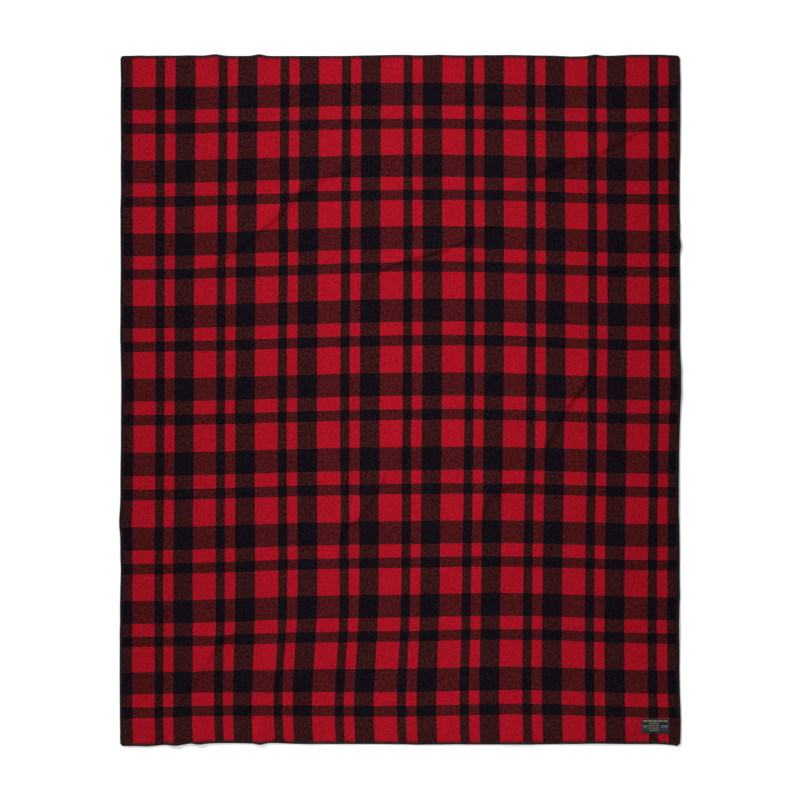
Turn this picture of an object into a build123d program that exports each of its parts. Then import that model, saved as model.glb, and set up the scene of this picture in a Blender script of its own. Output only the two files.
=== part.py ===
from build123d import *
import math
import os

os.makedirs("parts", exist_ok=True)

# A camp blanket of thick fulled wool, laid flat: one cloth, a stitched edge and a woven label.
# +Z is up, +Y runs to the head end and +X to the right, as seen from above with the head up.
# The origin is the centre of the underside, on the surface that the blanket lies on.

# The blanket over its stitched edge
blanket_width = 1524.0
blanket_length = 1875.0
cloth_thickness = 3.2
corner_radius = 10.0

# Edge seam: flat wraps of wool yarn over the rim, and a purl of yarn that they hold to the edge
yarn_width = 3.0
yarn_thickness = 0.8
yarn_rounding = 0.6
stitch_bite = 10.5
stitch_pitch = 5.6
corner_stitches = 3
purl_clearance = 0.1

# Where the edge seam is chained off
tail_diameter = 1.4
tail_side_margin = 12.5
tail_reach = 2.0
tail_bend = 3.0
tail_end = 3.0

# Woven label with both ends folded under
label_width = 74.6
label_height = 40.6
label_side_margin = 30.0
label_foot_margin = 30.0
label_tape = 0.45
label_fold = 7.0
label_fold_gap = 0.1
label_rounding = 0.4
figure_height = 0.12
figure_margin = 4.5
title_height = 4.0
row_pitch = 6.4
row_height = 2.4
row_lengths = (26.0, 31.0, 31.0, 26.0)
first_patch_row = 2
left_patch_width = 11.0
right_patch_width = 18.0
patch_gap = 2.5

# Lockstitch round the label
thread_width = 0.5
thread_thickness = 0.35
label_stitch_inset = 2.0
label_stitch_pitch = 3.0
label_stitch_length = 2.4
groove_clearance = 0.1


def edge_outline(inset):
    """The blanket's outline, drawn in by inset, with its corners rounded where the inset leaves any."""
    width = blanket_width - 2 * inset
    length = blanket_length - 2 * inset
    if corner_radius > inset:
        RectangleRounded(width, length, corner_radius - inset)
    else:
        Rectangle(width, length)


# The wraps squeeze the rim, so that their yarn lies flush with both faces of the cloth.
rim_thickness = cloth_thickness - 2 * yarn_thickness
purl_diameter = rim_thickness - 2 * purl_clearance
purl_inset = yarn_thickness + purl_clearance + purl_diameter / 2
rim_inset = purl_inset + purl_diameter / 2 + purl_clearance
body_inset = stitch_bite + purl_clearance

# The label's place, and the line that its stitches follow
label_x = blanket_width / 2 - label_side_margin - label_width / 2
label_y = -blanket_length / 2 + label_foot_margin + label_height / 2
label_top = cloth_thickness + 2 * label_tape + label_fold_gap
seam_width = label_width - 2 * label_stitch_inset
seam_height = label_height - 2 * label_stitch_inset
stitches_across = round(seam_width / label_stitch_pitch)
stitches_down = round(seam_height / label_stitch_pitch)

# The cloth: full thickness inside the seam, a thinner rim under the wraps,
# and a shallow groove in the underside where the label's bobbin thread beds in.
with BuildPart() as blanket_cloth:
    with BuildSketch(Plane.XY):
        edge_outline(body_inset)
    extrude(amount=cloth_thickness)
    with BuildSketch(Plane.XY.offset(yarn_thickness)):
        edge_outline(rim_inset)
    extrude(amount=rim_thickness)
    with BuildSketch(Plane.XY):
        with Locations((label_x, label_y)):
            groove_width = thread_width + 2 * groove_clearance
            Rectangle(seam_width + groove_width, seam_height + groove_width)
            Rectangle(seam_width - groove_width, seam_height - groove_width, mode=Mode.SUBTRACT)
    extrude(amount=thread_thickness, mode=Mode.SUBTRACT)
blanket_cloth.part.label = "blanket_cloth"
export_step(blanket_cloth.part, "parts/blanket_cloth.step")


def wrap_profile(profile, bite):
    """A wrap from the side, with the edge of the blanket at x = 0: over the rim, round it and back under."""
    with Locations((-bite / 2, cloth_thickness / 2)):
        Rectangle(bite, cloth_thickness)
    fillet(profile.vertices().group_by(Axis.X)[-1], yarn_rounding)
    with Locations(((-bite - yarn_thickness) / 2, cloth_thickness / 2)):
        Rectangle(bite - yarn_thickness, rim_thickness, mode=Mode.SUBTRACT)


# One straight wrap, and one for the corners, where the bites are shorter so that they fan without crossing.
with BuildPart() as straight_wrap:
    with BuildSketch(Plane.XZ) as straight_profile:
        wrap_profile(straight_profile, stitch_bite)
    extrude(amount=yarn_width / 2, both=True)

corner_step = 90.0 / corner_stitches
corner_hub = yarn_width / (2 * math.sin(math.radians(corner_step / 2)))
with BuildPart() as corner_wrap:
    with BuildSketch(Plane.XZ) as corner_profile:
        wrap_profile(corner_profile, corner_radius - corner_hub - purl_clearance)
    extrude(amount=yarn_width / 2, both=True)

# Wraps along the head, with its two corners, and along the left side. The pitch is evened out over each run.
head_run = blanket_width - 2 * corner_radius
side_run = blanket_length - 2 * corner_radius
head_stitches = round(head_run / stitch_pitch)
side_stitches = round(side_run / stitch_pitch)

with BuildPart() as edge_wraps_head:
    with Locations(Location((0, blanket_length / 2, 0), (0, 0, 90))):
        with GridLocations(0, head_run / head_stitches, 1, head_stitches):
            add(straight_wrap.part)
    for side, start in ((1, 0.0), (-1, 90.0)):
        with Locations((side * head_run / 2, side_run / 2)):
            with PolarLocations(corner_radius, corner_stitches, start + corner_step / 2, 90.0):
                add(corner_wrap.part)
edge_wraps_head.part.label = "edge_wraps_head"
export_step(edge_wraps_head.part, "parts/edge_wraps_head.step")

with BuildPart() as edge_wraps_foot:
    add(edge_wraps_head.part, rotation=(0, 0, 180))
edge_wraps_foot.part.label = "edge_wraps_foot"
export_step(edge_wraps_foot.part, "parts/edge_wraps_foot.step")

with BuildPart() as edge_wraps_left:
    with Locations(Location((-blanket_width / 2, 0, 0), (0, 0, 180))):
        with GridLocations(0, side_run / side_stitches, 1, side_stitches):
            add(straight_wrap.part)
edge_wraps_left.part.label = "edge_wraps_left"
export_step(edge_wraps_left.part, "parts/edge_wraps_left.step")

with BuildPart() as edge_wraps_right:
    add(edge_wraps_left.part, rotation=(0, 0, 180))
edge_wraps_right.part.label = "edge_wraps_right"
export_step(edge_wraps_right.part, "parts/edge_wraps_right.step")

# The purl lies between the rim's edge and the wraps, half way up the cloth.
purl_height = cloth_thickness / 2
purl_x = blanket_width / 2 - purl_inset
purl_y = blanket_length / 2 - purl_inset
purl_turn = corner_radius - purl_inset

with BuildPart() as edge_purl_head:
    with BuildLine(Plane.XY.offset(purl_height)) as head_path:
        JernArc((-purl_x, side_run / 2), (0, 1), purl_turn, -90)
        Line((-head_run / 2, purl_y), (head_run / 2, purl_y))
        JernArc((head_run / 2, purl_y), (1, 0), purl_turn, -90)
    with BuildSketch(Plane(origin=(-purl_x, side_run / 2, purl_height), z_dir=(0, 1, 0))):
        Circle(purl_diameter / 2)
    sweep(path=head_path.line)
edge_purl_head.part.label = "edge_purl_head"
export_step(edge_purl_head.part, "parts/edge_purl_head.step")

with BuildPart() as edge_purl_foot:
    add(edge_purl_head.part, rotation=(0, 0, 180))
edge_purl_foot.part.label = "edge_purl_foot"
export_step(edge_purl_foot.part, "parts/edge_purl_foot.step")

with BuildPart() as edge_purl_left:
    with BuildSketch(Plane(origin=(-purl_x, 0, purl_height), z_dir=(0, 1, 0))):
        Circle(purl_diameter / 2)
    extrude(amount=side_run / 2, both=True)
edge_purl_left.part.label = "edge_purl_left"
export_step(edge_purl_left.part, "parts/edge_purl_left.step")

with BuildPart() as edge_purl_right:
    add(edge_purl_left.part, rotation=(0, 0, 180))
edge_purl_right.part.label = "edge_purl_right"
export_step(edge_purl_right.part, "parts/edge_purl_right.step")

# The seam's end hangs out from the foot edge and turns to the right along the ground.
tail_x = blanket_width / 2 - tail_side_margin
with BuildPart() as yarn_tail:
    with BuildLine(Plane.XY.offset(tail_diameter / 2)) as tail_path:
        tail_start = Line((tail_x, -blanket_length / 2), (tail_x, -blanket_length / 2 - tail_reach))
        tail_turn = JernArc(tail_start @ 1, (0, -1), tail_bend, 90)
        Line(tail_turn @ 1, (tail_turn @ 1) + Vector(tail_end, 0, 0))
    with BuildSketch(Plane(origin=(tail_x, -blanket_length / 2, tail_diameter / 2), z_dir=(0, -1, 0))):
        Circle(tail_diameter / 2)
    sweep(path=tail_path.line)
yarn_tail.part.label = "yarn_tail"
export_step(yarn_tail.part, "parts/yarn_tail.step")

# The label's tape from its long side: the face, and the two ends turned under it.
label_face = Plane.XY.offset(label_top)
label_side = Plane(origin=(label_x, label_y, cloth_thickness), x_dir=(1, 0, 0), z_dir=(0, -1, 0))
with BuildPart() as label_ground:
    with BuildSketch(label_side) as tape:
        label_stack = 2 * label_tape + label_fold_gap
        with Locations((0, label_stack - label_tape / 2)):
            Rectangle(label_width, label_tape)
        for side in (-1, 1):
            with Locations((side * (label_width - label_fold) / 2, label_tape / 2)):
                Rectangle(label_fold, label_tape)
            with Locations((side * (label_width - label_tape) / 2, label_stack / 2)):
                Rectangle(label_tape, label_stack)
        fillet(tape.vertices().group_by(Axis.X)[0] + tape.vertices().group_by(Axis.X)[-1], label_rounding)
    extrude(amount=label_height / 2, both=True)
label_ground.part.label = "label_ground"
export_step(label_ground.part, "parts/label_ground.step")

# Pale bars in place of wording: one broad row across the top, and shorter rows between the patches.
figure_left = label_x - label_width / 2 + figure_margin
figure_right = label_x + label_width / 2 - figure_margin
title_y = label_y + label_height / 2 - figure_margin - title_height / 2
rows_left = figure_left + left_patch_width + patch_gap
rows_right = figure_right - right_patch_width - patch_gap
with BuildPart() as label_bars:
    with BuildSketch(label_face):
        with Locations(((figure_left + figure_right) / 2, title_y)):
            Rectangle(figure_right - figure_left, title_height)
        for row, row_length in enumerate(row_lengths, start=1):
            with Locations(((rows_left + rows_right) / 2, title_y - row * row_pitch)):
                Rectangle(row_length, row_height)
    extrude(amount=figure_height)
label_bars.part.label = "label_bars"
export_step(label_bars.part, "parts/label_bars.step")

# The patches stand one at each end of the rows, from the second row down to the last.
last_patch_row = len(row_lengths)
patch_height = (last_patch_row - first_patch_row) * row_pitch + row_height
patch_y = title_y - (first_patch_row + last_patch_row) / 2 * row_pitch
with BuildPart() as label_patches:
    with BuildSketch(label_face):
        with Locations((figure_left + left_patch_width / 2, patch_y)):
            Rectangle(left_patch_width, patch_height)
        with Locations((figure_right - right_patch_width / 2, patch_y)):
            Rectangle(right_patch_width, patch_height)
    extrude(amount=figure_height)
label_patches.part.label = "label_patches"
export_step(label_patches.part, "parts/label_patches.step")


def seam_stitches():
    """Stitches end to end round the label, an even number of pitches along each of its four runs."""
    for side in (-1, 1):
        with Locations((label_x, label_y + side * seam_height / 2)):
            with GridLocations(seam_width / stitches_across, 0, stitches_across, 1):
                SlotOverall(label_stitch_length, thread_width)
        with Locations((label_x + side * seam_width / 2, label_y)):
            with GridLocations(0, seam_height / stitches_down, 1, stitches_down):
                SlotOverall(label_stitch_length, thread_width, rotation=90)


with BuildPart() as label_needle_thread:
    with BuildSketch(label_face):
        seam_stitches()
    extrude(amount=thread_thickness)
label_needle_thread.part.label = "label_needle_thread"
export_step(label_needle_thread.part, "parts/label_needle_thread.step")

with BuildPart() as label_bobbin_thread:
    with BuildSketch(Plane.XY):
        seam_stitches()
    extrude(amount=thread_thickness)
label_bobbin_thread.part.label = "label_bobbin_thread"
export_step(label_bobbin_thread.part, "parts/label_bobbin_thread.step")
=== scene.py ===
import math

import bmesh
import bpy
import numpy as np
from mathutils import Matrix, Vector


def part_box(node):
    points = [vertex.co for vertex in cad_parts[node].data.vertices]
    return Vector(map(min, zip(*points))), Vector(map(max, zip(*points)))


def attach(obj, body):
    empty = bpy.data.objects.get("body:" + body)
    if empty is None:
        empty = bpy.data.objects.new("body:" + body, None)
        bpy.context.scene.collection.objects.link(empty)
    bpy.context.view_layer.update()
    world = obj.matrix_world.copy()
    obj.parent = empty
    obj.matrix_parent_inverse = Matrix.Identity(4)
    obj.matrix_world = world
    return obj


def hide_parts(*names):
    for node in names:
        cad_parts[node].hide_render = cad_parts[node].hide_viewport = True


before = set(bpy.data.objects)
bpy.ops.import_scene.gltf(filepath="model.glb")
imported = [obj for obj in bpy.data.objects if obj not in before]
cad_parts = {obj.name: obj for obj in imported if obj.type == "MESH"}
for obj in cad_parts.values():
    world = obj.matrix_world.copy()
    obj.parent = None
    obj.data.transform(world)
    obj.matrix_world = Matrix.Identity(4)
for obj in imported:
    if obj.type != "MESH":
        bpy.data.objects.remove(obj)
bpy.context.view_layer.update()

# --------------------------------------------------------------------------------------------
# The cloth: one length of thick wool, woven as a 2/2 twill from red and black yarns and then
# fulled until they felt together. It lies flat and face up, with the low creases that are left
# after unfolding, and its plaid bows and drifts a little, as a washed and pressed cloth does.
# --------------------------------------------------------------------------------------------
mm = 0.001
edge_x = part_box("edge_wraps_right")[1].x
edge_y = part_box("edge_wraps_head")[1].y
half_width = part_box("blanket_cloth")[1].x
half_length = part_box("blanket_cloth")[1].y
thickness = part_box("blanket_cloth")[1].z
rim_corner = 7.5 * mm
rim_thickness = 2.0 * mm
rim_width = 8.0 * mm
highest_lift = 10.5 * mm
chance = np.random.default_rng(24)

# Creases: the curve that each follows, how high it stands, how far it slopes on its steep and on
# its easy side, and how much cloth it takes up
creases = (
    (((-0.56, 0.34), (-0.45, 0.41), (-0.345, 0.495), (-0.275, 0.565), (-0.20, 0.61), (-0.10, 0.635)),
     8.5 * mm, 8 * mm, 30 * mm, 7 * mm),
    (((-0.105, 0.305), (-0.07, 0.345), (0.00, 0.378), (0.09, 0.404), (0.175, 0.438), (0.27, 0.485)),
     9.5 * mm, 7 * mm, 28 * mm, 6 * mm),
    (((-0.11, 0.408), (-0.05, 0.415), (0.00, 0.412)), 5.0 * mm, 8 * mm, 24 * mm, 2 * mm),
    (((0.28, 0.58), (0.36, 0.61), (0.42, 0.64), (0.53, 0.672), (0.61, 0.715), (0.70, 0.755)),
     8.5 * mm, 8 * mm, 30 * mm, 5 * mm),
    (((0.37, -0.18), (0.395, -0.12), (0.45, -0.02), (0.50, 0.05), (0.53, 0.14)),
     8.5 * mm, 8 * mm, 30 * mm, 4 * mm),
    (((0.215, -0.37), (0.232, -0.28), (0.28, -0.24), (0.35, -0.215)), 6.5 * mm, 8 * mm, 26 * mm, 3 * mm),
    (((0.262, -0.26), (0.268, -0.22), (0.275, -0.17)), 4.5 * mm, 8 * mm, 22 * mm, 2 * mm),
    (((-0.01, -0.20), (0.005, -0.11), (0.015, -0.03)), 5.0 * mm, 8 * mm, 26 * mm, 3 * mm),
    (((-0.172, -0.52), (-0.172, -0.43), (-0.158, -0.35), (-0.115, -0.318), (-0.06, -0.235),
      (-0.035, -0.16)), 8.5 * mm, 8 * mm, 28 * mm, 5 * mm),
    (((-0.152, -0.31), (-0.148, -0.25), (-0.14, -0.18)), 5.0 * mm, 8 * mm, 24 * mm, 3 * mm),
    (((-0.345, -0.88), (-0.345, -0.79), (-0.325, -0.69), (-0.30, -0.60)),
     7.0 * mm, 8 * mm, 28 * mm, 5 * mm),
    (((-0.625, -0.87), (-0.57, -0.775), (-0.51, -0.68), (-0.49, -0.65), (-0.42, -0.62)),
     7.5 * mm, 8 * mm, 26 * mm, 5 * mm),
    (((-0.672, -0.91), (-0.665, -0.84), (-0.655, -0.76)), 5.0 * mm, 8 * mm, 22 * mm, 2 * mm),
    (((-0.415, -0.91), (-0.412, -0.84), (-0.405, -0.76)), 5.0 * mm, 8 * mm, 22 * mm, 2 * mm),
    (((-0.465, -0.06), (-0.45, 0.00), (-0.44, 0.06)), 5.5 * mm, 9 * mm, 28 * mm, 2 * mm),
    (((-0.50, -0.06), (-0.495, 0.00), (-0.49, 0.05)), 4.5 * mm, 8 * mm, 20 * mm, 2 * mm),
)

# Low swells over the whole cloth, many small mounds of air under it: the middle of each, how long
# and how broad it is, which way it lies, and its rise
swell_count = 150
swells = [
    (chance.uniform(-0.72, 0.72), chance.uniform(-0.9, 0.9), chance.uniform(35, 110) * mm,
     chance.uniform(25, 60) * mm, chance.uniform(0, math.pi), chance.uniform(0.8, 2.6) * mm)
    for _ in range(swell_count)
]

# Waves of the four edges: how far along, how broad, how far out the edge stands and how high
edge_waves = {
    "head": ((-0.503, 22 * mm, 3.5 * mm, 6 * mm), (-0.383, 17 * mm, 3.5 * mm, 6 * mm),
             (0.00, 100 * mm, 2.6 * mm, 2 * mm), (0.28, 110 * mm, 2.6 * mm, 1 * mm),
             (0.47, 30 * mm, -1.8 * mm, 1 * mm), (0.53, 17 * mm, 3.0 * mm, 5 * mm),
             (0.67, 70 * mm, 2.8 * mm, 2 * mm), (0.12, 50 * mm, 1.2 * mm, 1 * mm),
             (-0.62, 80 * mm, 0.5 * mm, 0)),
    "foot": ((-0.73, 80 * mm, 5.0 * mm, 1 * mm), (-0.61, 20 * mm, 3.0 * mm, 9 * mm),
             (-0.545, 14 * mm, 1.4 * mm, 9 * mm), (-0.45, 110 * mm, -2.8 * mm, 1 * mm),
             (-0.379, 14 * mm, 2.6 * mm, 9 * mm), (0.30, 120 * mm, 1.0 * mm, 1 * mm),
             (-0.34, 40 * mm, -2.4 * mm, 1 * mm), (-0.68, 30 * mm, 2.0 * mm, 1 * mm),
             (0.54, 60 * mm, -1.4 * mm, 2 * mm), (0.755, 30 * mm, 3.4 * mm, 1 * mm),
             (0.10, 110 * mm, 1.2 * mm, 1 * mm), (-0.57, 12 * mm, -2.2 * mm, 2 * mm)),
    "left": ((0.70, 250 * mm, -1.2 * mm, 1 * mm), (0.03, 90 * mm, -2.6 * mm, 3 * mm),
             (-0.33, 35 * mm, 2.6 * mm, 4 * mm), (-0.46, 35 * mm, -1.8 * mm, 2 * mm),
             (-0.75, 160 * mm, 1.4 * mm, 2 * mm), (-0.11, 60 * mm, -1.5 * mm, 1 * mm),
             (0.36, 60 * mm, -0.9 * mm, 1 * mm)),
    "right": ((0.80, 120 * mm, 1.5 * mm, 1 * mm), (0.42, 18 * mm, 2.5 * mm, 4 * mm),
              (0.05, 90 * mm, 3.5 * mm, 3 * mm), (-0.25, 100 * mm, -2.4 * mm, 2 * mm),
              (-0.62, 60 * mm, -1.6 * mm, 2 * mm), (-0.88, 60 * mm, 2.8 * mm, 1 * mm),
              (0.28, 100 * mm, 1.2 * mm, 1 * mm)),
}
small_waves = 14
wave_depth = 55 * mm
for side, half_run in (("head", 0.74), ("foot", 0.74), ("left", 0.91), ("right", 0.91)):
    edge_waves[side] += tuple(
        (chance.uniform(-half_run, half_run), chance.uniform(14, 34) * mm,
         chance.uniform(-0.9, 0.9) * mm, chance.uniform(0, 1.5) * mm)
        for _ in range(small_waves)
    )


def mound(distance, width):
    """A smooth rise from 0 to 1 and back, as wide as asked."""
    return np.exp(-((distance / width) ** 2))


def half_wave(distance, reach):
    """A smooth rise from 0 to 1 over the reach."""
    return 0.5 - 0.5 * np.cos(math.pi * np.clip(distance / reach, 0, 1))


def smooth_through(points, samples):
    """Points evenly spread along a smooth curve through the given ones (last axis but one)."""
    points = np.asarray(points, float)
    count = points.shape[-2]
    t = np.linspace(0, count - 1 - 1e-9, samples)
    k = t.astype(int)
    f = (t - k)[:, None]
    before = 2 * points[..., :1, :] - points[..., 1:2, :]
    after = 2 * points[..., -1:, :] - points[..., -2:-1, :]
    padded = np.concatenate([before, points, after], -2)
    p0, p1, p2, p3 = (padded[..., k + j, :] for j in range(4))
    return 0.5 * (2 * p1 + (p2 - p0) * f + (2 * p0 - 5 * p1 + 4 * p2 - p3) * f ** 2
                  + (3 * p1 - p0 - 3 * p2 + p3) * f ** 3)


def across(line, x, y):
    """How far along a crease points lie, from 0 to 1, how far off its line, and which way off is."""
    line = smooth_through(line, 41)
    way = np.gradient(line, axis=0)
    way /= np.linalg.norm(way, axis=1, keepdims=True)
    gap = (x[..., None] - line[:, 0]) ** 2 + (y[..., None] - line[:, 1]) ** 2
    near = gap.argmin(-1)
    side_x, side_y = -way[near, 1], way[near, 0]
    off_x, off_y = x - line[near, 0], y - line[near, 1]
    off = off_x * side_x + off_y * side_y
    past = off_x * way[near, 0] + off_y * way[near, 1]
    along = near / (len(line) - 1) + past / np.linalg.norm(line[-1] - line[0])
    return along, off, side_x, side_y


def fade(along):
    """1 along most of a crease, going down to nothing at its two ends."""
    return half_wave(along + 0.12, 0.45) * half_wave(1.12 - along, 0.45)


def waves_at(x, y):
    """Every wave of the edges: its side, how far out and how high it takes a point of the cloth."""
    for side, waves in edge_waves.items():
        along, gap = (x, y) if side in ("head", "foot") else (y, x)
        edge = {"head": edge_y, "foot": -edge_y, "left": -edge_x, "right": edge_x}[side]
        for place, width, reach, rise in waves:
            share = mound(along - place, width) * mound(gap - edge, wave_depth)
            yield side, math.copysign(reach, reach * edge) * share, rise * share


def lift(x, y):
    """How high the underside of the cloth stands off the floor."""
    height = np.zeros_like(x)
    for line, rise, steep, easy, _ in creases:
        along, off, _, _ = across(line, x, y)
        height = height + rise * mound(off, np.where(off > 0, easy, steep)) * fade(along)
    for middle_x, middle_y, long, short, turn, rise in swells:
        along = (x - middle_x) * math.cos(turn) + (y - middle_y) * math.sin(turn)
        off = (y - middle_y) * math.cos(turn) - (x - middle_x) * math.sin(turn)
        height = height + rise * mound(along, long) * mound(off, short)
    for _, _, rise in waves_at(x, y):
        height = height + rise
    return highest_lift * np.tanh(height / highest_lift)


def lie(x, y):
    """Where points of the flat cloth come to lie, seen from above, and their lift."""
    out_x, out_y = np.array(x, float), np.array(y, float)
    for side, swing, _ in waves_at(x, y):
        if side in ("head", "foot"):
            out_y = out_y + swing
        else:
            out_x = out_x + swing
    return out_x, out_y, lift(x, y)


# Where the yarns were pushed together or pulled apart when the cloth was laid: the middle of each
# place, how far it reaches along and across, and how far the warp or the weft has moved there
warp_pulls = ((-0.20, -0.85, 0.45, 0.20, 18.0 * mm), (-0.40, 0.00, 0.35, 0.60, 8.5 * mm),
              (0.40, -0.60, 0.50, 0.50, 12.0 * mm), (0.85, 0.85, 0.70, 0.70, 6.0 * mm),
              (-0.75, 0.85, 0.15, 0.50, 6.0 * mm), (-0.60, -0.50, 0.20, 0.25, 6.0 * mm))
weft_pulls = ((0.20, 0.90, 0.55, 0.35, 15.5 * mm), (-0.60, -0.85, 0.30, 0.15, -11.5 * mm),
              (0.05, -0.85, 0.30, 0.70, 16.5 * mm), (-0.70, 0.05, 0.45, 0.30, -6.0 * mm),
              (0.15, -0.65, 0.45, 0.30, -9.0 * mm))
warp_offset, weft_offset = -6.5 * mm, -15.5 * mm
# The wefts bow down towards both sides: from where, how far down, and over what reach
bow_middle = 0.12
bow_left, bow_right = 25.5 * mm, 16.0 * mm
bow_reach_left, bow_reach_right = 0.85, 0.60


def sett_place(x, y):
    """Which point of the evenly woven plaid shows at a point of the cloth."""
    u, v = x + warp_offset, y + weft_offset
    v = v + bow_left * half_wave(bow_middle - x, bow_reach_left)
    v = v + bow_right * half_wave(x - bow_middle, bow_reach_right)
    for middle_x, middle_y, reach_x, reach_y, shift in warp_pulls:
        u = u + shift * mound(x - middle_x, reach_x) * mound(y - middle_y, reach_y)
    for middle_x, middle_y, reach_x, reach_y, shift in weft_pulls:
        v = v + shift * mound(x - middle_x, reach_x) * mound(y - middle_y, reach_y)
    for line, _, steep, _, take_up in creases:
        along, off, side_x, side_y = across(line, x, y)
        shift = take_up / 2 * np.tanh(off / steep) * mound(off, 6 * steep) * fade(along)
        u = u + shift * side_x
        v = v + shift * side_y
    return u, v


def rim_squeeze(inset):
    """How far the edge seam has squeezed the cloth, from 1 at the edge to 0 inside the seam."""
    t = np.clip((inset - 0.55 * rim_width) / (0.5 * rim_width), 0, 1)
    return 1 - t * t * (3 - 2 * t)


def cloth_faces(x, y):
    """Heights of the cloth's two faces at points of the flat cloth, over the floor."""
    inset = np.minimum(half_width - np.abs(x), half_length - np.abs(y))
    squeezed = rim_squeeze(inset)
    half = (thickness * (1 - squeezed) + rim_thickness * squeezed) / 2
    middle = lift(x, y) + thickness / 2
    return middle + half, middle - half


def give_pattern(mesh, uv):
    """Gives each point of a mesh its place in its own pattern, in metres."""
    corners = np.empty(len(mesh.loops), int)
    mesh.loops.foreach_get("vertex_index", corners)
    layer = mesh.uv_layers.new(name="pattern")
    layer.data.foreach_set("uv", np.asarray(uv, np.float32)[corners].ravel())


def piece(name, points, faces, uv=None):
    """A smooth mesh object from points and faces; uv gives each point's place in its own pattern."""
    mesh = bpy.data.meshes.new(name)
    mesh.from_pydata(np.asarray(points).tolist(), [], [list(map(int, face)) for face in faces])
    mesh.polygons.foreach_set("use_smooth", np.ones(len(mesh.polygons), bool))
    mesh.validate()
    if uv is not None:
        give_pattern(mesh, uv)
    made = bpy.data.objects.new(name, mesh)
    bpy.context.scene.collection.objects.link(made)
    return made


def quads(grid):
    """The faces between the points of a grid."""
    return np.stack([grid[:-1, :-1], grid[1:, :-1], grid[1:, 1:], grid[:-1, 1:]], -1).reshape(-1, 4)


def rims(upper, lower):
    """The four edges of two grids that lie over each other, in pairs."""
    return ((upper[:, 0], lower[:, 0]), (upper[-1, :], lower[-1, :]),
            (upper[::-1, -1], lower[::-1, -1]), (upper[0, ::-1], lower[0, ::-1]))


rim_insets = np.array([0, 2, 5, 8.5]) * mm
even_inset = 12 * mm


def grid_lines(half, step):
    """Lines across the cloth: close together in the rim, then evenly spaced, an even number of gaps."""
    inner = half - even_inset
    gaps = 2 * round(inner / step)
    even = np.linspace(-inner, inner, gaps + 1)
    rim = half - rim_insets
    return np.concatenate([-rim, even, rim[::-1]])


def round_corners(x, y):
    """Draws the corners of a grid of points in to their radius."""
    out_x = np.maximum(np.abs(x) - (half_width - rim_corner), 0)
    out_y = np.maximum(np.abs(y) - (half_length - rim_corner), 0)
    reach = np.hypot(out_x, out_y)
    pull = np.where(reach > 0, np.maximum(out_x, out_y) / np.maximum(reach, 1e-9), 1)
    both = (out_x > 0) & (out_y > 0)
    new_x = np.where(both, np.sign(x) * (half_width - rim_corner + out_x * pull), x)
    new_y = np.where(both, np.sign(y) * (half_length - rim_corner + out_y * pull), y)
    return new_x, new_y


def cloth_mesh():
    """The cloth as a closed skin, still flat: a face, an underside half as fine, and the cut edge."""
    lines_x, lines_y = grid_lines(half_width, cloth_step), grid_lines(half_length, cloth_step)
    flat_x, flat_y = round_corners(*np.meshgrid(lines_x, lines_y, indexing="ij"))
    count_x, count_y = flat_x.shape
    face_index = np.arange(count_x * count_y).reshape(count_x, count_y)
    under_x, under_y = (count_x + 1) // 2, (count_y + 1) // 2
    under_index = count_x * count_y + np.arange(under_x * under_y).reshape(under_x, under_y)
    points = np.concatenate([
        np.stack([flat_x, flat_y, np.ones_like(flat_x)], -1).reshape(-1, 3),
        np.stack([flat_x, flat_y, np.zeros_like(flat_x)], -1)[::2, ::2].reshape(-1, 3),
    ])
    faces = quads(face_index).tolist() + quads(under_index)[:, ::-1].tolist()
    for fine, coarse in rims(face_index, under_index):
        for k in range(len(coarse) - 1):
            a, b, c = fine[2 * k], fine[2 * k + 1], fine[2 * k + 2]
            faces.append((a, coarse[k], b))
            faces.append((b, coarse[k], coarse[k + 1]))
            faces.append((b, coarse[k + 1], c))
    return points, faces


def refine_by_creases(mesh):
    """Splits the edges of the cloth's face beside each crease, so that it can bend sharply there."""
    work = bmesh.new()
    work.from_mesh(mesh)
    work.verts.ensure_lookup_table()
    places = np.array([v.co for v in work.verts])
    close = np.zeros(len(places), bool)
    for line, _, _, _, _ in creases:
        along, off, _, _ = across(line, places[:, 0], places[:, 1])
        close |= (np.abs(off) < crease_reach) & (along > -0.1) & (along < 1.1) & (places[:, 2] > 0.5)
    split = [e for e in work.edges if close[e.verts[0].index] and close[e.verts[1].index]]
    bmesh.ops.subdivide_edges(work, edges=split, cuts=1, use_grid_fill=True)
    work.to_mesh(mesh)
    work.free()


def lay_cloth(made):
    """Moves the flat cloth's points to where they lie and gives them their places in the plaid."""
    mesh = made.data
    flat = np.empty(len(mesh.vertices) * 3)
    mesh.vertices.foreach_get("co", flat)
    flat_x, flat_y, upper = flat.reshape(-1, 3).T
    top, bottom = cloth_faces(flat_x, flat_y)
    x, y, _ = lie(flat_x, flat_y)
    mesh.vertices.foreach_set("co", np.stack([x, y, np.where(upper > 0.5, top, bottom)], -1).ravel())
    give_pattern(mesh, np.stack(sett_place(flat_x, flat_y), -1))
    mesh.polygons.foreach_set("use_smooth", np.ones(len(mesh.polygons), bool))
    mesh.update()


cloth_step = 7.0 * mm
crease_reach = 26 * mm
cloth = piece("wool_cloth", *cloth_mesh())
refine_by_creases(cloth.data)
lay_cloth(cloth)


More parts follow.
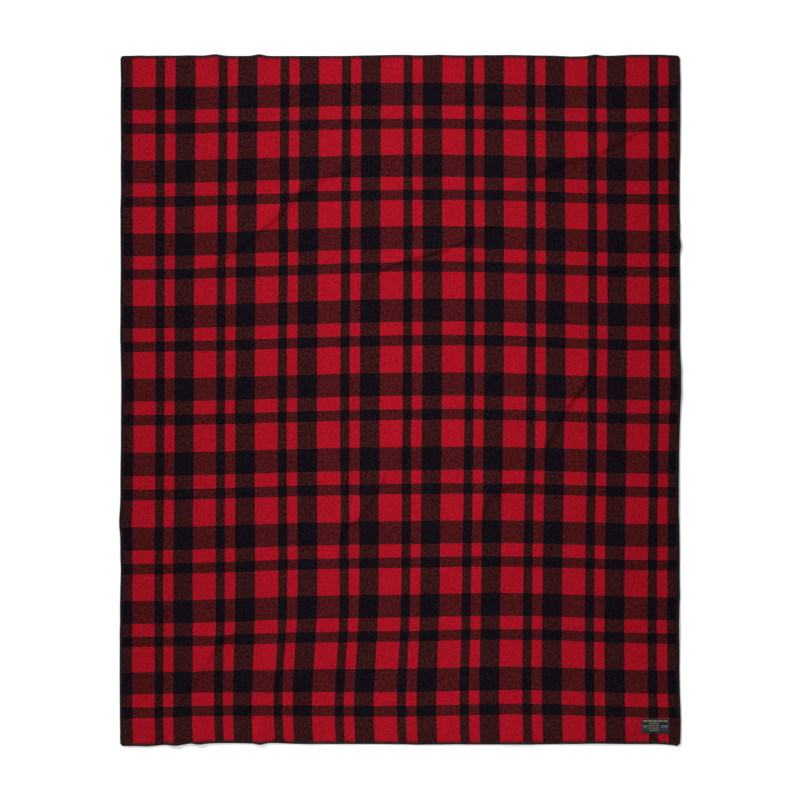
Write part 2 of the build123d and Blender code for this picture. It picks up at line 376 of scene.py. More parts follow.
class Dye:
    """A value on its way through a material: arithmetic on it adds the Math nodes."""

    def __init__(self, tree, socket=None):
        self.tree = tree
        self.socket = socket

    def node(self, kind, settings=None, inputs=None, output=0):
        """Adds a node: its settings first, then the values or links of its sockets."""
        made = self.tree.nodes.new("ShaderNode" + kind)
        for name, value in (settings or {}).items():
            setattr(made, name, value)
        for name, value in (inputs or {}).items():
            if isinstance(value, Dye):
                self.tree.links.new(value.socket, made.inputs[name])
            else:
                made.inputs[name].default_value = value
        return Dye(self.tree, made.outputs[output])

    def work(self, operation, *values):
        """One step of arithmetic, as a Math node."""
        return self.node("Math", {"operation": operation}, dict(enumerate(values)))

    def __add__(self, other):
        return self.work("ADD", self, other)

    def __sub__(self, other):
        return self.work("SUBTRACT", self, other)

    def __rsub__(self, other):
        return self.work("SUBTRACT", other, self)

    def __mul__(self, other):
        return self.work("MULTIPLY", self, other)

    def __mod__(self, other):
        return self.work("FLOORED_MODULO", self, other)

    def __abs__(self):
        return self.work("ABSOLUTE", self)

    __radd__ = __add__
    __rmul__ = __mul__

    def ease(self, start, end):
        """A smooth step from 0 at start to 1 at end."""
        limits = {"Value": self, "From Min": start, "From Max": end}
        return self.node("MapRange", {"interpolation_type": "SMOOTHSTEP"}, limits)

    def wave(self):
        """Between -1 and 1, once in every full turn."""
        return self.work("SINE", self)

    def between(self, first, second, share):
        """The colour that lies a share of the way from the first to the second."""
        return self.node("Mix", {"data_type": "RGBA"}, {0: share, 6: first, 7: second}, 2)

    def relief(self, strength):
        """The surface with this height, in metres, standing on it."""
        return self.node("Bump", {}, {"Strength": strength, "Distance": 1.0, "Height": self})

    def x_and_y(self):
        """The first two numbers of a place."""
        split = self.node("SeparateXYZ", {}, {0: self})
        return split, Dye(self.tree, split.socket.node.outputs[1])

    def pattern(self):
        """The place in a piece's own pattern."""
        return self.node("UVMap", {"uv_map": "pattern"})


def new_material(name, **constants):
    """A material with a Principled shader, its fixed values set on its own sockets."""
    made = bpy.data.materials.new(name)
    made.use_nodes = True
    shader = next(n for n in made.node_tree.nodes if n.type == "BSDF_PRINCIPLED")
    for socket, value in constants.items():
        shader.inputs[socket.replace("_", " ")].default_value = value
    return made, shader, Dye(made.node_tree)


def feed(shader, **values):
    """Links what varies over the surface to a shader's sockets."""
    for socket, value in values.items():
        value.tree.links.new(value.socket, shader.inputs[socket.replace("_", " ")])


def colour(red, green, blue):
    """A colour as seen on a display, 0 to 255, as the light that a surface sends back."""
    shares = [c / 255 / 12.92 if c / 255 <= 0.04045 else ((c / 255 + 0.055) / 1.055) ** 2.4
              for c in (red, green, blue)]
    return (*shares, 1.0)


# The sett, in metres: stripe widths of the warp and of the weft, and where each starts
warp_black_wide, warp_red_wide = 53.7 * mm, 61.7 * mm
warp_black_slim, warp_red_slim = 25.1 * mm, 27.4 * mm
weft_black_wide, weft_red_slim = 62.8 * mm, 36.0 * mm
weft_black_slim, weft_red_wide = 28.8 * mm, 72.4 * mm
warp_repeat = warp_black_wide + warp_red_wide + warp_black_slim + warp_red_slim
weft_repeat = weft_black_wide + weft_red_slim + weft_black_slim + weft_red_wide
selvedge_black = 33.5 * mm
head_red = 75.0 * mm
yarn_pitch = 1.15 * mm
yarn_sway = 1.8 * mm
stripe_wander = 1.3 * mm

wool, wool_shader, dye = new_material(
    "wool_plaid", Roughness=0.95, Specular_IOR_Level=0.03, Sheen_Weight=0.015, Sheen_Roughness=0.5,
)
u, v = dye.pattern().x_and_y()
flat = dye.node("CombineXYZ", {}, {0: u, 1: v, 2: 0.0})


def fibres(scale, detail=2.0, roughness=0.5, stretch=(1.0, 1.0)):
    """Noise over the flat cloth, from 0 to 1, with features about 1/scale metres across."""
    place = dye.node("CombineXYZ", {}, {0: u * stretch[0], 1: v * stretch[1], 2: 0.0})
    return dye.node("TexNoise", {"noise_dimensions": "2D"},
                    {"Vector": place, "Scale": scale, "Detail": detail, "Roughness": roughness})


def stripe(place, start, width):
    """1 inside a stripe of yarns and 0 outside it, with the yarn's own soft edge."""
    soft = 0.5 * mm
    rise = place.ease(start - soft, start + soft)
    return rise - place.ease(start + width - soft, start + width + soft)


wander = (fibres(420, 2.0) - 0.5) * stripe_wander
warp_place = (u + wander + (edge_x - selvedge_black + warp_black_wide / 2)) % warp_repeat
weft_place = (wander + edge_y - head_red - v) % weft_repeat
slim_start = warp_black_wide / 2 + warp_red_wide + warp_black_slim
warp_red = stripe(warp_place, warp_black_wide / 2, warp_red_wide)
warp_red = warp_red + stripe(warp_place, slim_start, warp_red_slim)
weft_black = stripe(weft_place, 0.0, weft_black_wide)
weft_black = weft_black + stripe(weft_place, weft_black_wide + weft_red_slim, weft_black_slim)
# No black weft crosses the red band at the head, and none comes past the foot
red_until = head_red - 4 * mm
weft_black = weft_black * (edge_y - v).ease(red_until, red_until + mm)
weft_black = weft_black * (v + edge_y).ease(-mm / 2, mm / 2)
weft_red = 1 - weft_black

# Each end and pick, swaying a little, and which of the two lies on top in a 2/2 twill, half
# hidden by the felting
end_place = (u + (fibres(150, 3.0, 0.6) - 0.5) * yarn_sway) * (1 / yarn_pitch)
pick_place = (v + (fibres(170, 3.0, 0.6) - 0.5) * yarn_sway) * (1 / yarn_pitch)
end_across, pick_across = end_place % 1.0, pick_place % 1.0
step = (end_place - end_across - pick_place + pick_across) % 4.0
felting = fibres(700, 3.0, 0.6)
warp_up = (1.15 - 0.7 * step.ease(1.4, 1.6) - 0.6 * felting).ease(0.1, 0.9)
end_round = 4 * end_across * (1 - end_across)
pick_round = 4 * pick_across * (1 - pick_across)
yarn_round = warp_up * end_round + (1 - warp_up) * pick_round
# Painted shade: the red is darker in the grooves between the yarns and lighter on their rounded tops
groove_shade = 0.70 + 0.45 * yarn_round

# Uneven dyeing and blending, streaked along each yarn
end_shade = fibres(300, 2.0, 0.6, (1.0, 0.05))
pick_shade = fibres(300, 2.0, 0.6, (0.05, 1.0))
grain = fibres(165, 3.0, 0.75)
end_heather = 2.0 * fibres(230, 2.0, 0.7, (1.0, 0.45))
pick_heather = 2.6 * fibres(230, 2.0, 0.7, (0.45, 1.0)) - 0.3
both_red = warp_red * weft_red * (0.28 * end_shade + 0.28 * pick_shade + 1.10 * grain - 0.12)
warp_only = warp_red * (1 - weft_red) * warp_up * (0.105 + 0.24 * pick_shade) * pick_heather
weft_only = weft_red * (1 - warp_red) * (1 - warp_up) * (0.048 + 0.114 * end_shade) * end_heather
# The red of each square, with the painted shade between the yarns
redness = (both_red + warp_only + weft_only) * groove_shade
lint = dye.node("TexVoronoi", {"voronoi_dimensions": "2D"}, {"Vector": flat, "Scale": 9.0})
pale_fuzz = fibres(215, 3.0, 0.75).ease(0.50, 0.75) * (0.018 + 0.050 * warp_red * weft_red)
specks = (1 - lint.ease(0.002, 0.010)) * felting * 0.8 + pale_fuzz
wool_red = colour(190, 13, 35)
# Black wool, lighter where its grain is lighter: partly its own uneven tone, partly painted highlight on
# the fuzz
black_and_fuzz_highlights = dye.between(colour(4, 3, 7), colour(22, 17, 25), 4 * grain - 1.5)
fuzz_brown = dye.between(colour(3, 2, 2), colour(36, 33, 30), 6 * grain - 2.5)
pale_lint = colour(150, 110, 105)
mixed_squares = warp_red * (1 - weft_red) + weft_red * (1 - warp_red)
ground = dye.between(black_and_fuzz_highlights, fuzz_brown, mixed_squares * 0.7)
dyed = dye.between(ground, wool_red, redness)
yarn_height, fuzz_height, felt_height = 0.16 * mm, 0.40 * mm, 0.9 * mm
nap = yarn_round * yarn_height + fibres(1100, 4.0, 0.7) * fuzz_height + fibres(150, 2.0) * felt_height
feed(wool_shader, Base_Color=dye.between(dyed, pale_lint, specks), Normal=nap.relief(0.8))
cloth.data.materials.append(wool)

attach(cloth, "root")
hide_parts("blanket_cloth")

# --------------------------------------------------------------------------------------------
# The edge seam, wraps: black wool yarn sewn over the raw edge all round. Each stitch leaves
# its needle hole, spreads as two strands over the rim, goes round the edge and back under.
# --------------------------------------------------------------------------------------------
seam_corner = 10.0 * mm
stitch_pitch = 5.6 * mm
stitch_bite = 10.5 * mm
corner_bite = 4.6 * mm
corner_stitches = 3
strand_width = 2.2 * mm
strand_height = 1.0 * mm
strand_spread = 1.2 * mm
end_share = 0.45


def corner_stations(middle_x, middle_y, turns):
    """The stitches that fan round a corner."""
    return [(middle_x + seam_corner * math.cos(turn), middle_y + seam_corner * math.sin(turn),
             math.cos(turn), math.sin(turn), corner_bite) for turn in turns]


def seam_stations(side):
    """Where the stitches of one side stand on the outer edge, which way is out, and their bites."""
    across_run, up_run = edge_x - seam_corner, edge_y - seam_corner
    run = across_run if side in ("head", "foot") else up_run
    count = round(2 * run / stitch_pitch)
    along = (np.arange(count) + 0.5) / count * 2 * run - run
    if side in ("head", "foot"):
        turns = (np.arange(corner_stitches) + 0.5) * (math.pi / 2 / corner_stitches)
        places = corner_stations(-across_run, up_run, math.pi - turns)
        places += [(s, edge_y, 0.0, 1.0, stitch_bite) for s in along]
        places += corner_stations(across_run, up_run, math.pi / 2 - turns)
    else:
        places = [(-edge_x, s, -1.0, 0.0, stitch_bite) for s in along]
    places = np.array(places)
    if side in ("foot", "right"):
        places[:, :4] *= -1
    return places


def yarn(name, paths, broad, width, height, taper=None):
    """Lengths of yarn: one closed tube along each path, broad in the given direction."""
    sides = 6
    paths, broad = np.asarray(paths, float), np.asarray(broad, float)
    lengths, samples = paths.shape[:2]
    tangent = np.gradient(paths, axis=1)
    tangent /= np.linalg.norm(tangent, axis=-1, keepdims=True)
    flat_way = broad - (broad * tangent).sum(-1, keepdims=True) * tangent
    flat_way /= np.linalg.norm(flat_way, axis=-1, keepdims=True)
    thick_way = np.cross(tangent, flat_way)
    turns = np.arange(sides) / sides * math.tau + math.pi / sides
    ring = (flat_way[:, :, None] * (width / 2 * np.cos(turns))[None, None, :, None]
            + thick_way[:, :, None] * (height / 2 * np.sin(turns))[None, None, :, None])
    thin = np.ones(samples) if taper is None else taper
    thin[[0, -1]] *= end_share
    points = (paths[:, :, None] + ring * thin[None, :, None, None]).reshape(-1, 3)
    index = np.arange(lengths * samples * sides).reshape(lengths, samples, sides)
    around = np.roll(index, -1, axis=2)
    walls = np.stack([index[:, :-1], around[:, :-1], around[:, 1:], index[:, 1:]], -1)
    caps = index[:, 0, ::-1].tolist() + index[:, -1].tolist()
    made = piece(name, points, walls.reshape(-1, 4).tolist() + caps)
    # The pattern of a yarn: how far along it a point lies, and how far round
    reach = np.cumsum(np.linalg.norm(np.diff(paths, axis=1, prepend=paths[:, :1]), axis=-1), 1)
    near, far, turn = reach[:, :-1, None], reach[:, 1:, None], np.arange(sides)[None, None] / sides
    corners = [np.stack(np.broadcast_arrays(*c), -1) for c in (
        (near, turn), (near, turn + 1 / sides), (far, turn + 1 / sides), (far, turn))]
    uv = np.concatenate([np.stack(corners, -2).reshape(-1, 2), np.zeros((2 * lengths * sides, 2))])
    layer = made.data.uv_layers.new(name="pattern")
    layer.data.foreach_set("uv", uv.astype(np.float32).ravel())
    return made


def edge_wraps(side):
    """All the wraps of one side, two strands to a stitch."""
    places = seam_stations(side)
    count = len(places)
    point, out, bite = places[:, :2], places[:, 2:4], places[:, 4]
    along = np.stack([-out[:, 1], out[:, 0]], -1)
    bite = bite + chance.uniform(-1.3, 1.3, count) * mm * (bite > corner_bite)
    lean = chance.uniform(-0.10, 0.10, count)
    slip = chance.uniform(-0.35, 0.35, count) * mm
    # Down the needle hole, over the rim, round the edge, and the same way back underneath
    top, low, mid = thickness + 0.05 * mm, 0.5 * mm, thickness / 2
    over = ((1.05, mid + 0.2 * mm), (1.02, top - 0.5 * mm), (0.88, top), (0.60, top - 0.1 * mm),
            (0.30, top))
    round_edge = ((0.9, top - 0.35 * mm), (0.45, mid + 0.7 * mm), (0.45, mid - 0.7 * mm))
    under = ((0.16, low), (0.50, low), (0.85, low), (1.05, mid - 0.3 * mm))
    insets = [share * bite for share, _ in over]
    insets += [np.full(count, inset * mm) for inset, _ in round_edge]
    insets = np.stack(insets + [share * bite for share, _ in under], 1)
    heights = np.array([height for _, height in (*over, *round_edge, *under)])
    narrow = np.clip(1 - insets / bite[:, None], 0, 1)
    spread = (0.35 * mm + strand_spread * narrow ** 0.8) * np.where(bite > corner_bite, 1, 0.8)[:, None]
    strands = []
    for hand in (-1, 1):
        aside = hand * spread + slip[:, None] + lean[:, None] * insets
        flat = point[:, None] - out[:, None] * insets[..., None] + along[:, None] * aside[..., None]
        x, y, rise = lie(flat[..., 0], flat[..., 1])
        path = np.stack([x, y, rise + heights], -1)
        strands.append(smooth_through(path, 16))
    paths = np.concatenate(strands)
    broad = np.concatenate([along, along])
    broad = np.concatenate([broad, np.zeros((2 * count, 1))], 1)[:, None].repeat(paths.shape[1], 1)
    taper = 0.62 + 0.38 * np.sin(np.linspace(0, math.pi, paths.shape[1])) ** 0.6
    return yarn(side + "_edge_wraps", paths, broad, strand_width, strand_height, taper)


black_yarn, yarn_shader, dye = new_material(
    "edge_yarn", Roughness=0.9, Specular_IOR_Level=0.15, Sheen_Weight=0.08, Sheen_Roughness=0.5,
)
place = dye.node("TexCoord", {}, {}, 3)
ply_pitch = 1.9 * mm
hair = dye.node("TexNoise", {}, {"Vector": place, "Scale": 1400.0, "Detail": 3.0, "Roughness": 0.7})
tuft = dye.node("TexNoise", {}, {"Vector": place, "Scale": 160.0, "Detail": 2.0})
along, around = dye.pattern().x_and_y()
ply = (along * (math.tau / ply_pitch) + around * (2 * math.tau) + hair).wave()
# The yarn's own uneven tone from its hairs and tufts, with painted shade along the twist of its plies,
# lighter on their crests
yarn_tone_and_ply_shade = dye.between(colour(13, 9, 12), colour(44, 31, 36), hair * tuft * (1.5 + 0.6 * ply))
yarn_nap = hair * (0.5 * mm) + ply * (0.10 * mm)
feed(yarn_shader, Base_Color=yarn_tone_and_ply_shade, Normal=yarn_nap.relief(0.8))

wraps = {}
for side in ("head", "foot", "left", "right"):
    wraps[side] = edge_wraps(side)
    wraps[side].data.materials.append(black_yarn)
    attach(wraps[side], "root")
    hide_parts("edge_wraps_" + side)

# --------------------------------------------------------------------------------------------
# The edge seam, purl: the looper yarns, three strands plaited along the raw edge. The wraps
# hold them there, and together they make the dense dark ridge that closes the edge.
# --------------------------------------------------------------------------------------------
purl_strand = 1.5 * mm
purl_inset = 2.8 * mm
purl_swing = 1.2 * mm
purl_depth = 0.75 * mm
samples_per_stitch = 5


def edge_purl(side):
    """Three strands that cross over each other once in every two stitches."""
    places = seam_stations(side)
    samples = len(places) * samples_per_stitch
    guide = smooth_through(places[:, :4], samples)
    point, out = guide[:, :2], guide[:, 2:4]
    out = out / np.linalg.norm(out, axis=1, keepdims=True)
    beat = np.linspace(0, len(places) / 2 * math.tau, samples)
    strands = []
    for turn in range(3):
        swing = beat + turn * math.tau / 3
        inset = purl_inset + purl_swing * np.sin(swing)
        height = thickness / 2 + 0.15 * mm + purl_depth * np.sin(2 * swing)
        flat = point - out * inset[:, None]
        x, y, rise = lie(flat[:, 0], flat[:, 1])
        strands.append(np.stack([x, y, rise + height], -1))
    paths = np.stack(strands)
    broad = np.concatenate([out, np.zeros((samples, 1))], 1)[None].repeat(3, 0)
    return yarn(side + "_edge_purl", paths, broad, purl_strand, purl_strand)


purls = {}
for side in ("head", "foot", "left", "right"):
    purls[side] = edge_purl(side)
    purls[side].data.materials.append(black_yarn)
    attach(purls[side], "root")
    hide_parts("edge_purl_" + side)

# --------------------------------------------------------------------------------------------
# The yarn tail: where the edge seam is chained off, by the foot-right corner. A short end of
# two strands, which sticks out past the edge and curls along the floor.
# --------------------------------------------------------------------------------------------
tail_low, tail_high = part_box("yarn_tail")
tail_root = (tail_low.x + 0.8 * mm, tail_high.y + 1.5 * mm)
tail_tip = (tail_high.x, tail_low.y + 0.7 * mm)
tail_strand = 0.8 * mm
tail_samples = 40
tail_turns = 3
tail_line = smooth_through([
    (tail_root[0], tail_root[1], 1.6 * mm),
    (tail_root[0], tail_root[1] - 2.5 * mm, 1.3 * mm),
    (tail_root[0] + 0.6 * mm, tail_tip[1] + 1.6 * mm, 0.9 * mm),
    (tail_root[0] + 2.6 * mm, tail_tip[1] + 0.1 * mm, 0.8 * mm),
    (tail_tip[0], tail_tip[1] + 0.5 * mm, 0.8 * mm),
], tail_samples)
tail_ends = []
for start in (0, math.pi):
    turn = start + np.linspace(0, tail_turns * math.tau, tail_samples)
    tail_ends.append(tail_line + np.stack([np.cos(turn), np.cos(turn), np.sin(turn)], -1) * (0.3 * mm))
tail_ways = np.array([0.0, 0.0, 1.0])[None, None].repeat(2, 0).repeat(tail_samples, 1)
tail = yarn("yarn_tail_end", np.stack(tail_ends), tail_ways, tail_strand, tail_strand)
tail.data.materials.append(black_yarn)
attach(tail, "root")
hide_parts("yarn_tail")

# --------------------------------------------------------------------------------------------
# The label's tape: dark woven polyester with both ends folded under. It is sewn flat to the
# cloth near the foot-right corner, so its middle lies on the wool and its ends stand double.
# --------------------------------------------------------------------------------------------
label_low, label_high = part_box("label_ground")
label_x, label_y = (label_low.x + label_high.x) / 2, (label_low.y + label_high.y) / 2
label_half_width, label_half_height = (label_high.x - label_low.x) / 2, (label_high.y - label_low.y) / 2
tape = 0.40 * mm
fold = 7.0 * mm
seam_in = 2.0 * mm


def on_cloth(x, y):
    """The place on the cloth's upper face over a point given from the label's middle."""
    flat_x, flat_y = label_x + x, label_y + y
    lain_x, lain_y, _ = lie(flat_x, flat_y)
    return lain_x, lain_y, cloth_faces(flat_x, flat_y)[0]


def tape_rise(x, y):
    """How high the tape's upper side stands over the cloth: double at the ends, low at its seam."""
    end = 1 / (1 + np.exp((np.abs(x) - (label_half_width - fold)) / (-0.5 * mm)))
    rise = tape * (1.15 + 1.0 * end)
    from_seam = np.minimum(np.abs(label_half_width - seam_in - np.abs(x)),
                           np.abs(label_half_height - seam_in - np.abs(y)))
    puff = 0.25 * mm * (1 - mound(from_seam, 1.2 * mm))
    return rise + puff * np.clip((label_half_height - np.abs(y)) / (2 * mm), 0, 1)


def shell(upper, lower):
    """The faces of a closed shell between two grids of points."""
    faces = quads(upper).tolist() + quads(lower)[:, ::-1].tolist()
    for a, b in rims(upper, lower):
        faces += np.stack([a[:-1], b[:-1], b[1:], a[1:]], -1).tolist()
    return faces


def label_tape_mesh():
    """The tape as a ribbon with thickness: under one end, round its fold, across, and under the other."""
    across_top = np.concatenate([
        np.linspace(-label_half_width + 0.3 * mm, -label_half_width + fold + 3 * mm, 18),
        np.linspace(-label_half_width + fold + 5 * mm, label_half_width - fold - 5 * mm, 46),
        np.linspace(label_half_width - fold - 3 * mm, label_half_width - 0.3 * mm, 18),
    ])
    rows = np.linspace(-label_half_height, label_half_height, 41)
    under = np.linspace(label_half_width - fold, label_half_width - 0.4 * mm, 8)
    outer, inner = [], []
    for x in -under:
        outer.append((x, 0.02 * mm, 0))
        inner.append((x, tape, 0))
    for x in across_top:
        outer.append((x, 0, 1))
        inner.append((x, -tape, 1))
    for x in under[::-1]:
        outer.append((x, 0.02 * mm, 0))
        inner.append((x, tape, 0))

    def skin(line):
        line = np.array(line)
        x, y = np.meshgrid(line[:, 0], rows, indexing="ij")
        base_x, base_y, base = on_cloth(x, y)
        rise = np.where(line[:, 2:3] > 0, tape_rise(x, y) + line[:, 1:2], line[:, 1:2])
        return np.stack([base_x, base_y, base + rise], -1), np.stack([x, y], -1)

    outer_points, outer_uv = skin(outer)
    inner_points, inner_uv = skin(inner)
    # The folds bulge out a little where the tape turns under
    turn_left, turn_right = len(under), len(under) + len(across_top) - 1
    outer_points[[turn_left - 1, turn_left], :, 0] -= 0.25 * mm
    outer_points[[turn_right, turn_right + 1], :, 0] += 0.25 * mm
    count = len(outer) * len(rows)
    outer_index = np.arange(count).reshape(len(outer), -1)
    points = np.concatenate([outer_points.reshape(-1, 3), inner_points.reshape(-1, 3)])
    uv = np.concatenate([outer_uv.reshape(-1, 2), inner_uv.reshape(-1, 2)])
    return points, shell(outer_index, outer_index + count), uv


label_tape = piece("label_tape", *label_tape_mesh())
tape_satin, tape_shader, dye = new_material("label_satin", Roughness=0.55, Specular_IOR_Level=0.35)
weft_pitch = 0.36 * mm
satin_step = 0.55 * mm
u, v = dye.pattern().x_and_y()
float_rows = (v * (math.tau / weft_pitch)).wave()
float_steps = (u * (math.tau / satin_step) + v * (math.tau / (2 * weft_pitch))).wave()
cloudy = dye.node("TexNoise", {}, {"Vector": dye.pattern(), "Scale": 300.0, "Detail": 2.0})
satin_share = (0.5 + 0.25 * float_rows + 0.25 * float_steps) * cloudy * 1.4
satin_tone = dye.between(colour(10, 14, 14), colour(35, 38, 36), satin_share)
satin_ribs = float_rows * (0.03 * mm) + float_steps * (0.02 * mm)
feed(tape_shader, Base_Color=satin_tone, Normal=satin_ribs.relief(0.6))
label_tape.data.materials.append(tape_satin)
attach(label_tape, "root")
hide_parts("label_ground")

# --------------------------------------------------------------------------------------------
# The label's figure: pale and coloured weft floats that stand a hair over the tape. Plain
# upright dashes in five rows fill the place of wording, between two plain coloured patches.
# --------------------------------------------------------------------------------------------
pad_step = 0.7 * mm
pad_round = 0.25 * mm
pad_root = 0.12 * mm


def pillows(name, plots, rise):
    """Low woven pads on the label's tape, one over each plot (left, right, bottom, top)."""
    points, faces, uv = [], [], []
    for left, right, bottom, top in plots:
        across_x = np.linspace(left, right, max(4, int((right - left) / pad_step) + 2))
        across_y = np.linspace(bottom, top, max(4, int((top - bottom) / pad_step) + 2))
        x, y = np.meshgrid(across_x, across_y, indexing="ij")
        base_x, base_y, base = on_cloth(x, y)
        base = base + tape_rise(x, y)
        edge = np.minimum(np.minimum(x - left, right - x), np.minimum(y - bottom, top - y))
        height = base + rise * np.clip(edge / pad_round, 0, 1) ** 0.5
        start = sum(len(p) for p in points)
        upper = start + np.arange(x.size).reshape(x.shape)
        points.append(np.stack([base_x, base_y, height], -1).reshape(-1, 3))
        points.append(np.stack([base_x, base_y, base - pad_root], -1).reshape(-1, 3))
        uv += [np.stack([x, y], -1).reshape(-1, 2)] * 2
        faces += shell(upper, upper + x.size)
    return piece(name, np.concatenate(points), faces, np.concatenate(uv))


figure_in = 4.5 * mm
title_height = 4.0 * mm
row_pitch = 6.4 * mm
row_height = 2.4 * mm
row_lengths = (26.0 * mm, 31.0 * mm, 31.0 * mm, 26.0 * mm)
left_patch, right_patch = 11.0 * mm, 18.0 * mm
figure_left, figure_right = -label_half_width + figure_in, label_half_width - figure_in
title_y = label_half_height - figure_in - title_height / 2
rows_middle = (figure_left + left_patch + figure_right - right_patch) / 2
# Each row of dashes: its two ends, its middle and height, and how far apart and how wide they are
dashes = []
dash_rows = [(figure_left, figure_right, title_y, title_height, 1.7 * mm, 1.05 * mm)]
for row, length in enumerate(row_lengths, start=1):
    row_left, row_right = rows_middle - length / 2, rows_middle + length / 2
    dash_rows.append((row_left, row_right, title_y - row * row_pitch, row_height, 1.25 * mm, 0.8 * mm))
for left, right, middle, height, pitch, width in dash_rows:
    x, run = left, 0
    while x + width <= right:
        tall = height * (0.82 + 0.18 * math.cos(run * 2.4))
        dashes.append((x, x + width, middle - tall / 2, middle + tall / 2))
        run += 1
        x += pitch * (2.1 if run % 7 == 6 else 1.0)
label_bars = pillows("label_dashes", dashes, 0.12 * mm)
pale_weft, pale_shader, dye = new_material("label_pale_weft", Roughness=0.6, Specular_IOR_Level=0.3)
u, v = dye.pattern().x_and_y()
pale_rows = (v * (math.tau / weft_pitch)).wave()
pale_tone = dye.between(colour(170, 146, 132), colour(214, 192, 172), 0.5 + 0.5 * pale_rows)
feed(pale_shader, Base_Color=pale_tone, Normal=(pale_rows * (0.03 * mm)).relief(0.6))
label_bars.data.materials.append(pale_weft)
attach(label_bars, "root")
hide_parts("label_bars")

patch_top = title_y - 2 * row_pitch + row_height / 2
patch_bottom = title_y - len(row_lengths) * row_pitch - row_height / 2
label_patches = pillows("label_colour_patches", [
    (figure_left, figure_left + left_patch, patch_bottom, patch_top),
    (figure_right - right_patch, figure_right, patch_bottom, patch_top),
], 0.10 * mm)
patch_weft, patch_shader, dye = new_material("label_patch_weft", Roughness=0.6, Specular_IOR_Level=0.3)
patch_pitch = 0.42 * mm
patch_step = 0.9 * mm
u, v = dye.pattern().x_and_y()
patch_rows = (v * (math.tau / patch_pitch)).wave()
patch_steps = (u * (math.tau / patch_step) + v * (math.tau / (2 * patch_pitch))).wave()
patch_weave = 0.25 * patch_rows + 0.2 * patch_steps
pale_band = v.ease(-4.0 * mm, -2.4 * mm) * (0.8 + patch_weave) + 0.12 * (1 + patch_weave)
on_right = u.ease(-0.2 * mm, 0.2 * mm)
green = dye.between(colour(14, 46, 40), colour(96, 124, 116), pale_band)
blue = dye.between(colour(28, 28, 44), colour(88, 108, 122), pale_band)
patch_tone = dye.between(green, blue, on_right)
feed(patch_shader, Base_Color=patch_tone, Normal=(patch_weave * (0.16 * mm)).relief(0.8))
label_patches.data.materials.append(patch_weft)
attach(label_patches, "root")
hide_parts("label_patches")

# --------------------------------------------------------------------------------------------
# The label's seam: a lockstitch in dark polyester thread, two millimetres inside the tape's
# edge all round. The needle thread shows on the label, the bobbin thread under the cloth.
# --------------------------------------------------------------------------------------------
thread = 0.42 * mm
stitch_length = 3.0 * mm
bobbin_depth, bobbin_bow = 0.35 * mm, 0.12 * mm
bow_samples = 7


def label_seam(name, under):
    """Every stitch of the seam as its own short bow of thread."""
    seam_x, seam_y = label_half_width - seam_in, label_half_height - seam_in
    paths, ways = [], []
    for half_run, off, way in ((seam_x, seam_y, (1, 0)), (seam_y, seam_x, (0, 1))):
        count = round(2 * half_run / stitch_length)
        pitch = 2 * half_run / count
        for hand in (-1, 1):
            for k in range(count):
                middle = -half_run + (k + 0.5) * pitch
                s = middle + np.linspace(-0.47, 0.47, bow_samples) * pitch
                bow = np.sqrt(np.clip(1 - np.linspace(-1, 1, bow_samples) ** 2, 0, 1))
                still = np.full(bow_samples, hand * off)
                x, y = (s, still) if way == (1, 0) else (still, s)
                base_x, base_y, base = on_cloth(x, y)
                if under:
                    bottom = cloth_faces(label_x + x, label_y + y)[1]
                    z = bottom + bobbin_depth - bow * bobbin_bow
                else:
                    z = base + tape_rise(x, y) + thread * (bow * 0.75 - 0.45)
                paths.append(np.stack([base_x, base_y, z], -1))
                ways.append(np.array([-way[1], way[0], 0.0])[None].repeat(bow_samples, 0))
    return yarn(name, np.array(paths), np.array(ways), thread, thread * 0.9)


dark_thread, thread_shader, dye = new_material("label_thread", Roughness=0.45, Specular_IOR_Level=0.4)
place = dye.node("TexCoord", {}, {}, 3)
twist = dye.node("TexNoise", {}, {"Vector": place, "Scale": 2200.0, "Detail": 2.0})
thread_tone = dye.between(colour(16, 18, 18), colour(48, 46, 46), twist)
feed(thread_shader, Base_Color=thread_tone, Normal=(twist * (0.08 * mm)).relief(0.5))
needle_thread = label_seam("label_seam_needle", under=False)
bobbin_thread = label_seam("label_seam_bobbin", under=True)
for made, node in ((needle_thread, "label_needle_thread"), (bobbin_thread, "label_bobbin_thread")):
    made.data.materials.append(dark_thread)
    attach(made, "root")
    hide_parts(node)

# --------------------------------------------------------------------------------------------
# The floor: a wide, plain, pale floor that the blanket is laid on. It glows enough to stay white,
# and less so close to the blanket, where the shadow under the edge shows.
# --------------------------------------------------------------------------------------------
floor_half = 40.0
glow_reach = 0.22
glow_low, glow_full = (0.34, 0.34, 0.34, 1.0), (1.0, 1.0, 1.0, 1.0)
floor_corners = [(x * floor_half, y * floor_half, 0) for x, y in ((-1, -1), (1, -1), (1, 1), (-1, 1))]
floor_mesh = bpy.data.meshes.new("studio_floor")
floor_mesh.from_pydata(floor_corners, [], [(0, 1, 2, 3)])
floor = bpy.data.objects.new("studio_floor", floor_mesh)
bpy.context.scene.collection.objects.link(floor)

floor_paint, floor_shader, dye = new_material(
    "floor_paint", Base_Color=(0.9, 0.9, 0.9, 1.0), Roughness=1.0, Specular_IOR_Level=0.0,
    Emission_Strength=1.0,
)
floor_x, floor_y = dye.node("TexCoord", {}, {}, 3).x_and_y()
outside = dye.work("MAXIMUM", abs(floor_x) - edge_x, abs(floor_y) - edge_y)
feed(floor_shader, Emission_Color=dye.between(glow_low, glow_full, outside.ease(0.0, glow_reach)))
floor.data.materials.append(floor_paint)

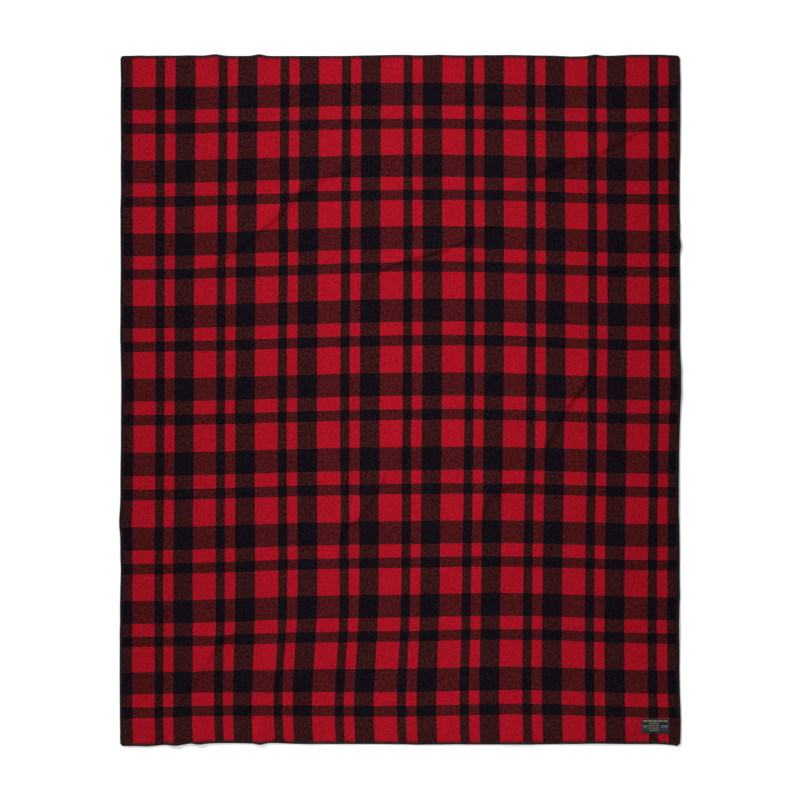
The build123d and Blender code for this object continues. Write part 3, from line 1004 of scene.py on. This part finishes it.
# --------------------------------------------------------------------------------------------
# The studio: a white backdrop all round, a narrow soft lamp along the blanket overhead, another
# low along its foot, and a window's worth of light from beyond the head-left corner. The camera
# hangs straight above, far enough away for the blanket to look square.
# --------------------------------------------------------------------------------------------
backdrop_radius, backdrop_height, backdrop_sides = 35.0, 8.0, 64
turns = np.arange(backdrop_sides) / backdrop_sides * math.tau
foot_ring = backdrop_radius * np.stack([np.cos(turns), np.sin(turns), np.zeros_like(turns)], -1)
top_ring = foot_ring + (0, 0, backdrop_height)
low = np.arange(backdrop_sides)
panels = np.stack([low, low + backdrop_sides, np.roll(low, -1) + backdrop_sides, np.roll(low, -1)], -1)
backdrop = piece("studio_backdrop", np.concatenate([foot_ring, top_ring]), panels)
backdrop_paint, _, _ = new_material(
    "backdrop_paint", Base_Color=(0.0, 0.0, 0.0, 1.0), Emission_Color=glow_full, Emission_Strength=1.0,
)
backdrop.data.materials.append(backdrop_paint)


def lamp(name, place, size, power, at_blanket=False):
    """A soft lamp that faces straight down, or the middle of the blanket."""
    light = bpy.data.lights.new(name, "AREA")
    light.shape = "RECTANGLE"
    light.size, light.size_y = size
    light.energy = power
    made = bpy.data.objects.new(name, light)
    bpy.context.scene.collection.objects.link(made)
    made.location = place
    if at_blanket:
        made.rotation_euler = made.location.to_track_quat("Z", "Y").to_euler()
    made.visible_camera = False


lamp("overhead_lamp", (0.05, 0.17, 0.95), (0.7, 2.45), 9.4)
lamp("foot_lamp", (-0.1, -1.25, 0.7), (2.8, 0.3), 3.6)
lamp("window_lamp", (-4.4, 5.2, 5.0), (1.8, 1.7), 628, at_blanket=True)

world = bpy.data.worlds.new("studio_air")
world.use_nodes = True
air_light = world.node_tree.nodes["Background"].inputs
air_light["Color"].default_value = (1.0, 1.0, 1.0, 1.0)
air_light["Strength"].default_value = 0.01
bpy.context.scene.world = world
bpy.context.scene.view_settings.view_transform = "Standard"

seen_width = 2.1790
focal_length, film_width = 85, 36
camera_lens = bpy.data.cameras.new("camera")
camera_lens.lens = focal_length
camera_lens.sensor_width = film_width
camera = bpy.data.objects.new("camera", camera_lens)
bpy.context.scene.collection.objects.link(camera)
camera.location = (0.0, 0.0, seen_width * focal_length / film_width)
bpy.context.scene.camera = camera

bpy.context.view_layer.update()
